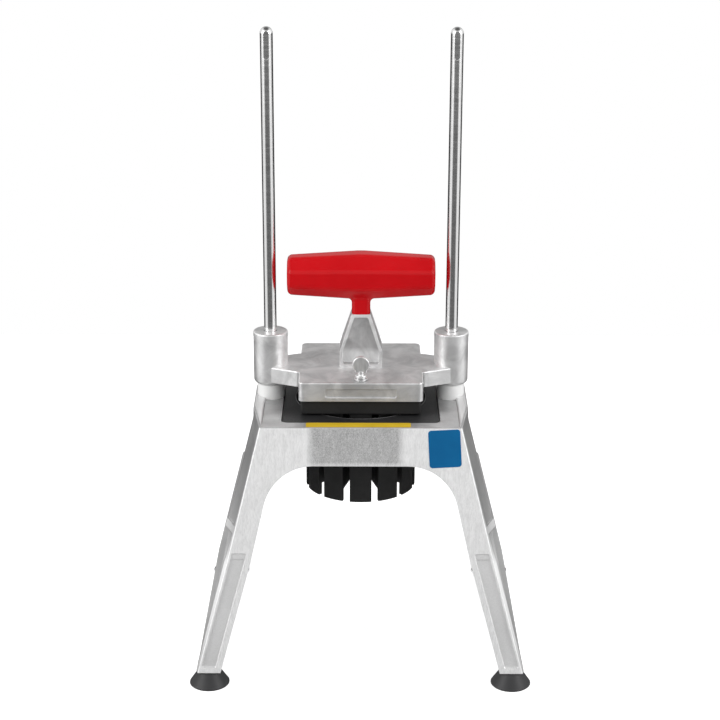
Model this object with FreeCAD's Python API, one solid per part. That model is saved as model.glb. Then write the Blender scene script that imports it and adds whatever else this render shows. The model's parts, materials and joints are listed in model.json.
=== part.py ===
import FreeCAD, Part
import math
import os

from FreeCAD import Vector

os.makedirs("parts", exist_ok=True)

# Push-down potato cutter. Millimetres, +Z up, +Y to the back, +X to the right.
# The origin is on the table, under the middle of the four feet.

# Guide rods
rod_diameter = 9.525
rod_spacing = 139.7
rod_rise = 286.5
rod_flat_depth = 0.42
rod_flat_length = 19.0
rod_stud_diameter = 7.94
rod_stud_length = 34.0
rod_stud_clearance = 0.08

# Stand casting: overall shape
deck_top = 197.5
deck_thickness = 7.0
deck_side_margin = 12.65
deck_half_depth = 70.0
shoulder_drop = 9.5
knee_height = 95.0
knee_spread = 26.5
foot_height = 12.0
foot_spread = 42.0
rear_inset_knee = 4.8
rear_inset_foot = 3.3
front_slope = 0.2
deck_edge_radius = 0.8

# Stand casting: the sloping facet along each upright corner
facet_width_deck = 7.0
facet_width_shoulder = 4.6
facet_width_knee = 8.5
facet_width_foot = 1.2
facet_depth_deck = 45.0
facet_depth_shoulder = 42.0
facet_depth_knee = 9.0
facet_depth_foot = 3.0
facet_edge_radius = 1.1

# Stand casting: walls, arches and panels
apron_wall = 5.5
side_wall = 7.5
leg_front_wall = 6.0
leg_side_wall = 9.0
cavity_radius_top = 12.0
cavity_radius_leg = 3.0
apron_height = 28.8
arch_corner_inset = 16.9
arch_radius = 38.0
arch_knee_radius = 12.0
leg_width_at_knee = 26.0
leg_width_at_foot = 18.3
side_arch_drop = 7.0
side_arch_radius = 14.0
leg_depth_at_arch = 30.0
leg_depth_at_foot = 20.0
leg_pad_thickness = 14.0
leg_pad_width = 44.5
leg_pad_depth = 47.1
front_panel_depth = 1.5
front_panel_step = 4.6
front_panel_rise = 8.0
front_panel_foot_gap = 4.0
front_panel_radius = 1.2
front_panel_knee_radius = 8.0
front_rim_outer = 1.8
front_rim_inner = 4.7
side_panel_depth = 1.2
side_panel_margin = 2.8
side_panel_gap = 5.3
side_panel_radius = 6.0
channel_depth_top = 5.0
channel_depth_bottom = 1.5
channel_rise = 22.3
channel_foot_gap = 7.0
channel_rim_front = 2.8
channel_rim_rear = 4.5
channel_radius = 3.0

# Stand casting: deck rims and rod bosses
deck_rim_width = 8.6
deck_rim_edge_gap = 0.3
deck_rim_height = 1.8
deck_rim_radius = 1.6
rod_boss_radius = 12.0
rod_boss_depth = 14.5
bumper_recess_clearance = 0.3

# Rod hardware under the deck
washer_thickness = 1.6
washer_outer_radius = 7.4
rod_nut_across_flats = 12.7
rod_nut_height = 6.6

# Bumpers
bumper_radius = 10.6
bumper_height = 11.7
bumper_bore_clearance = 0.15
bumper_edge_radius = 0.8

# Blade set
holder_side = 118.5
holder_corner_radius = 4.5
holder_flange_thickness = 4.0
holder_drop = 0.3
holder_edge_radius = 0.6
holder_mouth_edge_radius = 0.45
holder_pocket_clearance = 0.6
holder_body_side = 107.6
holder_body_depth = 10.3
holder_body_clearance = 0.5
holder_bore_radius = 44.3
holder_mouth_radius = 50.5
holder_mouth_depth = 6.5
clamp_ring_depth = 12.0
blade_count = 12
blade_thickness = 0.8
blade_height = 10.0
blade_bevel = 1.6
blade_edge_thickness = 0.12
blade_seat_length = 3.0
blade_slot_clearance = 0.05
core_tube_radius = 8.5
core_tube_wall = 0.8
core_tube_height = 12.0
holder_screw_radius = 2.0
holder_screw_head_radius = 3.6
holder_screw_head_height = 2.2
holder_screw_offset = 45.5
holder_screw_length = 18.0
holder_screw_clearance = 0.1

# Pusher casting
plate_half_width = 47.2
plate_half_depth = 48.0
plate_rise = 15.5
plate_thickness = 5.0
plate_corner_radius = 4.0
plate_edge_radius = 1.2
lip_height = 15.0
lip_thickness = 2.7
lip_panel_width = 54.0
lip_panel_height = 7.0
lip_panel_drop = 8.7
lip_panel_depth = 1.2
lip_panel_radius = 1.8
rest_gap = 0.3
pusher_boss_radius = 13.25
pusher_boss_rise = 26.0
pusher_boss_cap = 4.0
pusher_boss_cap_clearance = 0.35
pusher_boss_edge_radius = 3.0
pusher_boss_top_edge = 1.2
arm_height = 12.5
arm_root_overlap = 6.0
arm_shoulder = 1.5
arm_half_depth_inner = 22.0
arm_end_inset = 0.35
arm_edge_radius = 1.2
bushing_wall = 1.6
bushing_running_clearance = 0.06

# Handle bracket and grip
bracket_base_width = 32.7
bracket_base_depth = 25.0
bracket_shoulder_rise = 12.6
bracket_rise = 41.4
stem_width = 14.2
stem_depth = 17.0
bracket_rim = 2.3
bracket_recess_depth = 5.0
bracket_recess_foot = 2.4
grip_length = 112.7
grip_rise = 29.3
grip_middle_radius = 17.7
grip_end_radius = 14.6
grip_end_round = 4.0
grip_facet_round = 6.0
grip_crest = 2.5
stem_corner_radius = 4.0
stem_flare = 3.5
core_bar_radius = 7.0
core_bar_length = 88.0
core_tang_width = 8.0
core_tang_depth = 10.0

# Pusher block with its fingers
block_half_width = 45.7
block_gap_to_lip = 0.3
block_gap_to_holder = 1.2
block_edge_radius = 1.2
finger_count = 12
finger_outer_radius = 43.0
finger_inner_radius = 13.5
finger_slot_width = 5.6
finger_wall = 3.2
finger_length = 73.0
finger_web_rise = 9.3
core_pusher_radius = 6.6

# Thumb screw
thumb_screw_setback = 7.0
thumb_disc_radius = 6.3
thumb_disc_thickness = 3.2
thumb_disc_rise = 12.4
thumb_shoulder_width = 9.4
thumb_shoulder_height = 2.6
thumb_neck_radius = 2.3
thumb_collar_radius = 4.2
thumb_collar_height = 2.2
thumb_shank_radius = 2.5
thumb_shank_clearance = 0.1
thumb_pad_radius = 4.2
thumb_pad_height = 0.9
thumb_washer_radius = 5.3
thumb_washer_thickness = 0.8
thumb_axial_gap = 0.3
thumb_thread_length = 9.0

# Suction feet
foot_side_inset = 9.5
foot_end_inset = 8.4
foot_cup_radius = 15.1
foot_neck_radius = 8.6
foot_lip = 1.0
foot_hollow_radius = 12.4
foot_hollow_depth = 2.6
foot_stud_radius = 3.0
foot_stud_bottom = 5.0
foot_stud_in_pad = 11.0

# Blank stick-on plates
strip_length = 78.5
strip_width = 8.6
strip_centre_x = -1.8
strip_thickness = 0.25
strip_edge_gap = 1.2
badge_width = 24.0
badge_height = 28.4
badge_centre_x = 62.8
badge_top_gap = 1.6
badge_radius = 2.4
badge_thickness = 0.35
badge_turn = 3.0

# Sizes that follow
rod_x = rod_spacing / 2
rod_radius = rod_diameter / 2
rod_top = deck_top + rod_rise
shoulder_height = deck_top - shoulder_drop
deck_underside = deck_top - deck_thickness
deck_half_width = rod_x + deck_side_margin
knee_half_width = deck_half_width + knee_spread
foot_half_width = deck_half_width + foot_spread
arch_top = deck_top - apron_height
arch_corner_half_width = deck_half_width - arch_corner_inset
side_arch_top = knee_height - side_arch_drop
front_panel_top = knee_height + front_panel_rise
front_panel_bottom = foot_height + front_panel_foot_gap
channel_top = knee_height + channel_rise
channel_bottom = foot_height + channel_foot_gap
holder_top = deck_top - holder_drop
holder_flange_bottom = holder_top - holder_flange_thickness
holder_body_bottom = holder_flange_bottom - holder_body_depth
clamp_ring_bottom = holder_body_bottom - clamp_ring_depth
pusher_boss_bottom = deck_top + bumper_height + rest_gap
plate_top = pusher_boss_bottom + plate_rise
plate_underside = plate_top - plate_thickness
lip_bottom = plate_top - lip_height
pusher_boss_top = plate_top + pusher_boss_rise
bushing_top = pusher_boss_top - pusher_boss_cap
bracket_shoulder = plate_top + bracket_shoulder_rise
bracket_top = plate_top + bracket_rise
grip_height = bracket_top + grip_rise
block_top = plate_underside
block_bottom = holder_top + block_gap_to_holder
finger_tip = block_bottom - finger_length
block_half_depth = plate_half_depth - lip_thickness - block_gap_to_lip
stud_bottom = deck_top - rod_stud_length
rod_nut_top = deck_underside - rod_boss_depth - washer_thickness
thumb_screw_y = -(plate_half_depth - thumb_screw_setback)
thumb_washer_bottom = plate_top + thumb_pad_height
thumb_collar_bottom = thumb_washer_bottom + thumb_washer_thickness + thumb_axial_gap
thumb_disc_centre = plate_top + thumb_disc_rise
finger_web_bottom = finger_tip + finger_web_rise
bushing_outer_radius = rod_radius + bushing_running_clearance + bushing_wall
far = 400.0


def between(height, low, high, at_low, at_high):
    """Value on the straight line from at_low to at_high."""
    return at_low + (at_high - at_low) * (height - low) / (high - low)


def outer_half_width(height):
    """Half width of the stand at its front, at a height."""
    if height >= shoulder_height:
        return deck_half_width
    if height >= knee_height:
        return between(height, knee_height, shoulder_height, knee_half_width, deck_half_width)
    return between(height, foot_height, knee_height, foot_half_width, knee_half_width)


def outer_half_depth(height):
    """Half depth of the stand, front and back alike, at a height."""
    return deck_half_depth + front_slope * (deck_top - height)


def rear_narrowing(height):
    """How much narrower each side of the stand is at the back than at the front."""
    if height >= shoulder_height:
        return 0.0
    if height >= knee_height:
        return between(height, knee_height, shoulder_height, rear_inset_knee, 0.0)
    return between(height, foot_height, knee_height, rear_inset_foot, rear_inset_knee)


def facet_size(height, at_deck, at_shoulder, at_knee, at_foot):
    if height >= shoulder_height:
        return between(height, shoulder_height, deck_top, at_shoulder, at_deck)
    if height >= knee_height:
        return between(height, knee_height, shoulder_height, at_knee, at_shoulder)
    return between(height, foot_height, knee_height, at_foot, at_knee)


def facet_width(height):
    """Width, seen from the front, of the facet along the stand's upright corners."""
    return facet_size(
        height, facet_width_deck, facet_width_shoulder, facet_width_knee, facet_width_foot)


def facet_depth(height):
    """Depth, seen from the side, of the same facet."""
    return facet_size(
        height, facet_depth_deck, facet_depth_shoulder, facet_depth_knee, facet_depth_foot)


def arch_half_width(height):
    """Half width of the front arch between the legs at a height."""
    if height >= knee_height:
        at_knee = knee_half_width - leg_width_at_knee
        return between(height, knee_height, arch_top, at_knee, arch_corner_half_width)
    return outer_half_width(height) - between(
        height, foot_height, knee_height, leg_width_at_foot, leg_width_at_knee)


def side_arch_half_width(height):
    """Half width, front to back, of the side arch at a height."""
    depth = between(height, foot_height, side_arch_top, leg_depth_at_foot, leg_depth_at_arch)
    return outer_half_depth(height) - depth


def in_plan(height):
    return lambda a, b: Vector(a, b, height)


def in_front_view(y):
    return lambda a, b: Vector(a, y, b)


def in_side_view(x):
    return lambda a, b: Vector(x, a, b)


def rounded_wire(corners, radii, place):
    """Closed wire through flat corners (a, b), each rounded by its own radius."""
    count = len(corners)
    points = [Vector(a, b, 0) for a, b in corners]
    starts = []
    middles = []
    ends = []
    for index in range(count):
        corner = points[index]
        back = (points[index - 1] - corner).normalize()
        ahead = (points[(index + 1) % count] - corner).normalize()
        half_angle = back.getAngle(ahead) / 2
        radius = radii[index]
        tangent = radius / math.tan(half_angle)
        bisector = (back + ahead).normalize()
        starts.append(corner + back * tangent)
        ends.append(corner + ahead * tangent)
        middles.append(corner + bisector * (radius / math.sin(half_angle) - radius))

    def spot(point):
        return place(point.x, point.y)

    edges = []
    for index in range(count):
        if radii[index] > 0:
            arc = Part.Arc(spot(starts[index]), spot(middles[index]), spot(ends[index]))
            edges.append(arc.toShape())
        following = starts[(index + 1) % count]
        edges.append(Part.makeLine(spot(ends[index]), spot(following)))
    return Part.Wire(edges)


def prism(corners, radii, place, along):
    """Solid made by pushing a rounded outline along a vector."""
    return Part.Face(rounded_wire(corners, radii, place)).extrude(along)


def rectangle(half_a, half_b, centre_a=0.0, centre_b=0.0):
    return [
        (centre_a - half_a, centre_b - half_b),
        (centre_a + half_a, centre_b - half_b),
        (centre_a + half_a, centre_b + half_b),
        (centre_a - half_a, centre_b + half_b),
    ]


def slab(half_x, half_y, radius, bottom, top, x=0.0, y=0.0):
    """Upright block with rounded corners in plan."""
    outline = rectangle(half_x, half_y, x, y)
    return prism(outline, [radius] * 4, in_plan(bottom), Vector(0, 0, top - bottom))


def box(low, high):
    size = Vector(*high) - Vector(*low)
    return Part.makeBox(size.x, size.y, size.z, Vector(*low))


def rod(radius, bottom, top, x=0.0, y=0.0):
    return Part.makeCylinder(radius, top - bottom, Vector(x, y, bottom))


def mirrored_x(shape):
    return shape.mirror(Vector(0, 0, 0), Vector(1, 0, 0))


def both_sides(shape):
    return [shape, mirrored_x(shape)]


def edges_where(shape, test):
    return [edge for edge in shape.Edges if test(edge)]


def level(edge, height):
    """True for an edge that lies flat at a height."""
    bounds = edge.BoundBox
    return abs(bounds.ZMin - height) < 0.01 and abs(bounds.ZMax - height) < 0.01


def single(shape):
    """The one solid of a shape, refined."""
    return shape.removeSplitter().Solids[0]


# Stand casting

def stand_section(height, inset_x=0.0, inset_y=0.0):
    """Outline of the stand at a height, with a facet at each corner."""
    front = outer_half_width(height) - inset_x
    rear = front - rear_narrowing(height)
    depth = outer_half_depth(height) - inset_y
    wide = facet_width(height)
    deep = facet_depth(height)
    right = [
        (front - wide, -depth), (front, deep - depth),
        (rear, depth - deep), (rear - wide, depth),
    ]
    left = [(-x, y) for x, y in reversed(right)]
    return rounded_wire(right + left, [facet_edge_radius] * 8, in_plan(height))


def stand_outside(inset_x_knee=0.0, inset_x_foot=0.0, inset_y=0.0, inset_x_top=0.0):
    """Outer form of the stand, or the same form drawn in on its sides and front."""
    stations = [
        (deck_top, inset_x_top), (shoulder_height, inset_x_top),
        (knee_height, inset_x_knee), (foot_height, inset_x_foot),
    ]
    wires = [stand_section(height, inset_x, inset_y) for height, inset_x in stations]
    return Part.makeLoft(wires, True, True)


def cavity_section(height, inset_x, inset_y, radius):
    front = outer_half_width(height) - inset_x
    rear = front - rear_narrowing(height)
    depth = outer_half_depth(height) - inset_y
    corners = [(-front, -depth), (front, -depth), (rear, depth), (-rear, depth)]
    return rounded_wire(corners, [radius] * 4, in_plan(height))


def stand_cavity():
    """The hollow under the deck, between the aprons and side walls."""
    foot_wall = leg_side_wall - channel_depth_top + channel_depth_bottom
    stations = [
        (deck_underside, side_wall, apron_wall, cavity_radius_top),
        (shoulder_height, side_wall, apron_wall, cavity_radius_top),
        (knee_height, leg_side_wall, leg_front_wall, cavity_radius_leg),
        (foot_height, foot_wall, leg_front_wall, cavity_radius_leg),
    ]
    wires = [cavity_section(*station) for station in stations]
    return Part.makeLoft(wires, True, True)


def leg_pads():
    """The solid ends of the legs, which the feet screw into."""
    top = foot_height + leg_pad_thickness
    inner_x = foot_half_width - leg_pad_width
    inner_y = outer_half_depth(foot_height) - leg_pad_depth
    pads = []
    for end in (-1, 1):
        low = (inner_x, min(end * inner_y, end * far), foot_height)
        high = (far, max(end * inner_y, end * far), top)
        pads += both_sides(box(low, high))
    return pads


def front_arches():
    """Openings between the two front legs and between the two rear legs."""
    arches = []
    for end in (-1, 1):
        def half(height):
            return arch_half_width(height) - (rear_narrowing(height) if end > 0 else 0.0)
        corners = [
            (-half(foot_height), foot_height - 1), (half(foot_height), foot_height - 1),
            (half(knee_height), knee_height), (half(arch_top), arch_top),
            (-half(arch_top), arch_top), (-half(knee_height), knee_height),
        ]
        radii = [0, 0, arch_knee_radius, arch_radius, arch_radius, arch_knee_radius]
        arches.append(prism(corners, radii, in_front_view(0), Vector(0, end * far, 0)))
    return arches


def side_arches():
    """Openings between the front and rear leg on each side."""
    half_top = side_arch_half_width(side_arch_top)
    half_foot = side_arch_half_width(foot_height)
    corners = [
        (-half_foot, foot_height - 1), (half_foot, foot_height - 1),
        (half_top, side_arch_top), (-half_top, side_arch_top),
    ]
    radii = [0, 0, side_arch_radius, side_arch_radius]
    return prism(corners, radii, in_side_view(-far), Vector(2 * far, 0, 0))


def front_leg_panels(top):
    """Outlines of the panels sunk in the front and rear faces of the four legs."""
    def inner(height):
        return arch_half_width(height) + front_rim_inner

    def outer(height):
        return outer_half_width(height) - facet_width(height) - front_rim_outer

    corners = [
        (inner(front_panel_bottom), front_panel_bottom),
        (outer(front_panel_bottom), front_panel_bottom),
        (outer(knee_height), knee_height),
        (outer(top), top), (inner(top), top),
        (inner(knee_height), knee_height),
    ]
    end_radius = front_panel_radius
    knee_radius = min(front_panel_knee_radius, (top - knee_height) * 2)
    radii = [end_radius, end_radius, knee_radius, end_radius, end_radius, knee_radius]
    outline = prism(corners, radii, in_front_view(-far), Vector(0, 2 * far, 0))
    return both_sides(outline)


def leg_channels():
    """Side channels of the legs, which leave a rim at the front and a deeper one behind."""
    low = channel_bottom
    high = channel_top

    def front(height):
        return outer_half_depth(height) - channel_rim_front

    def rear(height):
        return side_arch_half_width(height) + channel_rim_rear

    corners = [(rear(low), low), (front(low), low), (front(high), high), (rear(high), high)]
    channels = []
    for end in (-1, 1):
        outline = [(end * a, b) for a, b in corners]
        radii = [channel_radius] * 4
        channels.append(prism(outline, radii, in_side_view(-far), Vector(2 * far, 0, 0)))
    return channels


def side_panels():
    """The wide shallow panel on each side of the stand, above the side arch."""
    low = channel_top + side_panel_gap
    high = shoulder_height - side_panel_gap

    def half(height):
        return outer_half_depth(height) - side_panel_margin

    corners = [(-half(low), low), (half(low), low), (half(high), high), (-half(high), high)]
    return prism(corners, [side_panel_radius] * 4, in_side_view(-far), Vector(2 * far, 0, 0))


def stand_casting():
    outside = stand_outside()
    top_edges = edges_where(outside, lambda edge: level(edge, deck_top))
    body = outside.makeFillet(deck_edge_radius, top_edges)
    cavity = stand_cavity().cut(Part.makeCompound(leg_pads()))
    bosses = []
    for x in (-rod_x, rod_x):
        bosses.append(rod(rod_boss_radius, deck_underside - rod_boss_depth, deck_underside, x))
    body = body.cut(cavity)
    body = body.fuse([boss.common(outside) for boss in bosses])
    body = body.cut(Part.makeCompound(front_arches()))
    body = body.cut(side_arches())
    for top, depth in ((front_panel_top, front_panel_depth / 2),
                       (front_panel_top - front_panel_step, front_panel_depth)):
        skin = outside.cut(stand_outside(inset_y=depth))
        for panel in front_leg_panels(top):
            body = body.cut(panel.common(skin))
    channel_skin = outside.cut(stand_outside(channel_depth_top, channel_depth_bottom))
    for channel in leg_channels():
        body = body.cut(channel.common(channel_skin))
    depth = side_panel_depth
    panel_skin = outside.cut(stand_outside(depth, depth, 0.0, depth))
    body = body.cut(side_panels().common(panel_skin))
    body = body.fuse(deck_rims())
    body = body.cut(Part.makeCompound(deck_openings() + foot_holes()))
    return single(body)


def deck_rims():
    """Raised round-edged rims along the two sides of the deck, from front to back."""
    inset = deck_edge_radius + deck_rim_edge_gap
    outer = deck_half_width - inset
    inner = deck_half_width - deck_rim_width
    top = deck_top + deck_rim_height
    profile = [(inner, deck_top), (outer, deck_top), (outer, top), (inner, top)]
    radii = [0, 0, deck_rim_radius, deck_rim_radius]
    rim = prism(profile, radii, in_front_view(-far), Vector(0, 2 * far, 0))
    deck = Part.Face(stand_section(deck_top, inset, inset))
    rim = rim.common(deck.extrude(Vector(0, 0, deck_rim_height + 1)))
    return both_sides(rim)


def deck_openings():
    """Holder pocket, food passage, rod holes and the seats of the bumpers."""
    pocket_half = holder_side / 2 + holder_pocket_clearance
    passage_half = holder_body_side / 2 + holder_body_clearance
    cuts = [
        slab(pocket_half, pocket_half, holder_corner_radius + holder_pocket_clearance,
             holder_flange_bottom, deck_top + 10),
        slab(passage_half, passage_half, 6, deck_underside - 1, deck_top + 10),
    ]
    hole = rod_stud_diameter / 2 + rod_stud_clearance
    for x in (-rod_x, rod_x):
        cuts.append(rod(hole, deck_underside - rod_boss_depth - 1, deck_top + 1, x))
        cuts.append(rod(bumper_radius + bumper_recess_clearance, deck_top, deck_top + 10, x))
    return cuts


def foot_holes():
    """Blind holes in the leg ends for the feet's studs."""
    holes = []
    for side in (-1, 1):
        for end in (-1, 1):
            x, y = foot_place(side, end)
            holes.append(rod(foot_stud_radius, foot_height - 1, foot_height + foot_stud_in_pad, x, y))
    return holes


# Guide rods and what holds them

def guide_rod(x):
    dome_centre = rod_top - rod_radius
    shaft = rod(rod_radius, deck_top, dome_centre, x)
    dome = Part.makeSphere(rod_radius, Vector(x, 0, dome_centre))
    stud = rod(rod_stud_diameter / 2, stud_bottom, deck_top, x)
    body = shaft.fuse([dome, stud])
    flat_bottom = dome_centre - rod_flat_length
    flat_face = -(rod_radius - rod_flat_depth)
    flat_half = math.sqrt(rod_radius ** 2 - flat_face ** 2)
    flat = prism(rectangle(flat_half, rod_flat_length, x, flat_bottom + rod_flat_length),
                 [flat_half * 0.95] * 4, in_front_view(flat_face), Vector(0, -rod_radius, 0))
    return single(body.cut(flat))


def rod_washer(x):
    bottom = deck_underside - rod_boss_depth - washer_thickness
    outer = rod(washer_outer_radius, bottom, bottom + washer_thickness, x)
    return outer.cut(rod(rod_stud_diameter / 2 + rod_stud_clearance, bottom - 1, deck_top, x))


def hexagon(across_flats, x, y):
    radius = across_flats / math.sqrt(3)
    corners = []
    for index in range(6):
        angle = math.radians(60 * index)
        corners.append((x + radius * math.cos(angle), y + radius * math.sin(angle)))
    return corners


def rod_nut(x):
    bottom = rod_nut_top - rod_nut_height
    blank = prism(hexagon(rod_nut_across_flats, x, 0), [0.4] * 6, in_plan(bottom),
                  Vector(0, 0, rod_nut_height))
    return blank.cut(rod(rod_stud_diameter / 2, bottom - 1, deck_top, x))


def bumper(x):
    ring = rod(bumper_radius, deck_top, deck_top + bumper_height, x)
    rims = edges_where(ring, lambda edge: level(edge, deck_top + bumper_height))
    ring = ring.makeFillet(bumper_edge_radius, rims)
    return ring.cut(rod(rod_radius + bumper_bore_clearance, deck_top - 1, rod_top, x))


# Blade set

def blade_angles():
    step = 360.0 / blade_count
    return [step * (index + 0.5) - 90.0 for index in range(blade_count)]


def turned(shape, angle):
    copy = shape.copy()
    copy.rotate(Vector(0, 0, 0), Vector(0, 0, 1), angle)
    return copy


def screw_places():
    places = []
    for x in (-holder_screw_offset, holder_screw_offset):
        for y in (-holder_screw_offset, holder_screw_offset):
            places.append((x, y))
    return places


def blade_holder():
    """Square holder that drops into the deck, with the round food opening."""
    half = holder_side / 2
    flange = slab(half, half, holder_corner_radius, holder_flange_bottom, holder_top)
    rim = edges_where(flange, lambda edge: level(edge, holder_top))
    flange = flange.makeFillet(holder_edge_radius, rim)
    body_half = holder_body_side / 2
    lower = slab(body_half, body_half, 5, holder_body_bottom, holder_flange_bottom)
    body = flange.fuse(lower)
    cuts = [rod(holder_bore_radius, holder_body_bottom - 1, holder_top + 1)]
    cuts.append(Part.makeCone(holder_bore_radius, holder_mouth_radius, holder_mouth_depth,
                              Vector(0, 0, holder_top - holder_mouth_depth)))
    hole = holder_screw_radius + holder_screw_clearance
    screw_top = clamp_ring_bottom + holder_screw_head_height + holder_screw_length
    for x, y in screw_places():
        cuts.append(rod(hole, holder_body_bottom - 1, screw_top, x, y))
    body = single(body.cut(Part.makeCompound(cuts)))
    mouth = edges_where(body, lambda edge: level(edge, holder_top) and
                        abs(edge.BoundBox.XLength - 2 * holder_mouth_radius) < 0.1)
    return single(body.makeFillet(holder_mouth_edge_radius, mouth))


def clamp_ring():
    """Lower half of the holder, slotted for the blades' outer ends."""
    half = holder_body_side / 2
    body = slab(half, half, 5, clamp_ring_bottom, holder_body_bottom)
    cuts = [rod(holder_bore_radius, clamp_ring_bottom - 1, holder_body_bottom + 1)]
    reach = holder_bore_radius + blade_seat_length + blade_slot_clearance
    half_slot = blade_thickness / 2 + blade_slot_clearance
    slot = box((0, -half_slot, holder_body_bottom - blade_height), (reach, half_slot, deck_top))
    for angle in blade_angles():
        cuts.append(turned(slot, angle))
    hole = holder_screw_radius + holder_screw_clearance
    head = holder_screw_head_radius + holder_screw_clearance
    for x, y in screw_places():
        cuts.append(rod(hole, clamp_ring_bottom - 1, holder_body_bottom + 1, x, y))
        cuts.append(rod(head, clamp_ring_bottom - 1, clamp_ring_bottom + holder_screw_head_height, x, y))
    return single(body.cut(Part.makeCompound(cuts)))


def holder_screw(x, y):
    seat = clamp_ring_bottom + holder_screw_head_height
    head = rod(holder_screw_head_radius, seat - holder_screw_head_height, seat, x, y)
    shank = rod(holder_screw_radius, seat, seat + holder_screw_length, x, y)
    socket = prism(hexagon(2.5, x, y), [0] * 6, in_plan(clamp_ring_bottom - 1), Vector(0, 0, 2.2))
    return single(head.fuse(shank).cut(socket))


def wedge_blade(angle):
    """One radial blade, sharpened along its top edge."""
    half = blade_thickness / 2
    half_edge = blade_edge_thickness / 2
    top = holder_body_bottom
    bottom = top - blade_height
    outline = [
        (-half, bottom), (half, bottom), (half, top - blade_bevel),
        (half_edge, top), (-half_edge, top), (-half, top - blade_bevel),
    ]
    reach = holder_bore_radius + blade_seat_length
    strip = prism(outline, [0] * 6, in_side_view(0), Vector(reach, 0, 0))
    strip = strip.cut(rod(core_tube_radius, bottom - 1, top + 1))
    return turned(strip, angle)


def core_tube():
    """Thin centre tube that the blades' inner ends meet."""
    top = holder_body_bottom + 1
    bottom = top - core_tube_height
    outer = rod(core_tube_radius, bottom, top)
    edge = Part.makeCone(core_tube_radius - core_tube_wall, core_tube_radius - 0.1,
                         core_tube_wall * 1.6, Vector(0, 0, top - core_tube_wall * 1.6))
    bore = rod(core_tube_radius - core_tube_wall, bottom - 1, top + 1)
    return single(outer.cut(bore).cut(edge))


# Pusher

def handle_bracket():
    """Tapered upright with a sunk front and back, between the plate and the grip."""
    half = bracket_base_width / 2
    half_stem = stem_width / 2
    front_view = [
        (-half, plate_underside), (half, plate_underside), (half, bracket_shoulder),
        (half_stem, bracket_top), (-half_stem, bracket_top), (-half, bracket_shoulder),
    ]
    blank = prism(front_view, [0, 0, 3, 0, 0, 3], in_front_view(-far), Vector(0, 2 * far, 0))
    deep = bracket_base_depth / 2
    deep_top = stem_depth / 2
    side_view = [
        (-deep, plate_underside), (deep, plate_underside), (deep, bracket_shoulder),
        (deep_top, bracket_top), (-deep_top, bracket_top), (-deep, bracket_shoulder),
    ]
    side = prism(side_view, [0, 0, 3, 0, 0, 3], in_side_view(-far), Vector(2 * far, 0, 0))
    upright = blank.common(side)
    recess_bottom = plate_top + bracket_recess_foot
    recess_top = bracket_top - bracket_recess_foot
    recess_half = half - bracket_rim
    narrow = half_stem - bracket_rim * 0.8
    recess_view = [
        (-recess_half, recess_bottom), (recess_half, recess_bottom),
        (recess_half, bracket_shoulder), (narrow, recess_top),
        (-narrow, recess_top), (-recess_half, bracket_shoulder),
    ]
    floor = deep_top - bracket_recess_depth
    for end in (-1, 1):
        radii = [2, 2, 4, 1.5, 1.5, 4]
        pocket = prism(recess_view, radii, in_front_view(end * floor), Vector(0, end * far, 0))
        slope = prism(
            [(end * (floor + 4), recess_bottom - 1), (end * floor, recess_bottom + 9),
             (end * floor, recess_top), (end * (deep_top - 1), recess_top + 2), (end * far, recess_top + 2),
             (end * far, recess_bottom - 1)],
            [0, 12, 0, 0, 0, 0], in_side_view(-far), Vector(2 * far, 0, 0))
        upright = upright.cut(pocket.common(slope))
    return upright


def handle_core():
    """Cast T inside the grip: a tang and a round cross bar."""
    tang = slab(core_tang_width / 2, core_tang_depth / 2, 1.5, bracket_top - 1, grip_height)
    bar = Part.makeCylinder(core_bar_radius, core_bar_length,
                            Vector(-core_bar_length / 2, 0, grip_height), Vector(1, 0, 0))
    return tang.fuse(bar)


def pusher_arm():
    """Right-hand arm from the plate to the rod boss, flush with the top of the plate."""
    inner = plate_half_width - arm_root_overlap
    shoulder = plate_half_width + arm_shoulder
    end_half_depth = pusher_boss_radius - arm_end_inset
    corners = [
        (inner, -arm_half_depth_inner), (shoulder, -arm_half_depth_inner),
        (rod_x, -end_half_depth), (rod_x, end_half_depth),
        (shoulder, arm_half_depth_inner), (inner, arm_half_depth_inner),
    ]
    bottom = plate_top - arm_height
    arm = prism(corners, [0, 2, 0, 0, 2, 0], in_plan(bottom), Vector(0, 0, arm_height))

    def outer_top(edge):
        bounds = edge.BoundBox
        return level(edge, plate_top) and bounds.XLength > 0.01 and bounds.XMin > shoulder - 5

    arm = arm.makeFillet(arm_edge_radius, edges_where(arm, outer_top))
    beside_block = block_half_width + block_gap_to_lip
    return arm.cut(box((0, -far, bottom - 1), (beside_block, far, plate_underside)))


def pusher_boss(x):
    """Tall boss that runs on one guide rod."""
    height = pusher_boss_top - pusher_boss_bottom
    boss = Part.makeCylinder(pusher_boss_radius, height, Vector(x, 0, pusher_boss_bottom))
    low = edges_where(boss, lambda edge: level(edge, pusher_boss_bottom))
    boss = boss.makeFillet(pusher_boss_edge_radius, low)
    high = edges_where(boss, lambda edge: level(edge, pusher_boss_top))
    return boss.makeFillet(pusher_boss_top_edge, high)


def pusher_plate():
    """Flat plate with a lip along its front and back."""
    plate = slab(plate_half_width, plate_half_depth, plate_corner_radius, lip_bottom, plate_top)
    rim = edges_where(plate, lambda edge: level(edge, plate_top))
    plate = plate.makeFillet(plate_edge_radius, rim)
    inside = plate_half_depth - lip_thickness
    hollow = box((-far, -inside, lip_bottom - 1), (far, inside, plate_underside))
    plate = plate.cut(hollow)
    middle = plate_top - lip_panel_drop
    outline = rectangle(lip_panel_width / 2, lip_panel_height / 2, 0, middle)
    face = -(plate_half_depth - lip_panel_depth)
    panel = prism(outline, [lip_panel_radius] * 4, in_front_view(face), Vector(0, -far, 0))
    return plate.cut(panel)


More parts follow.
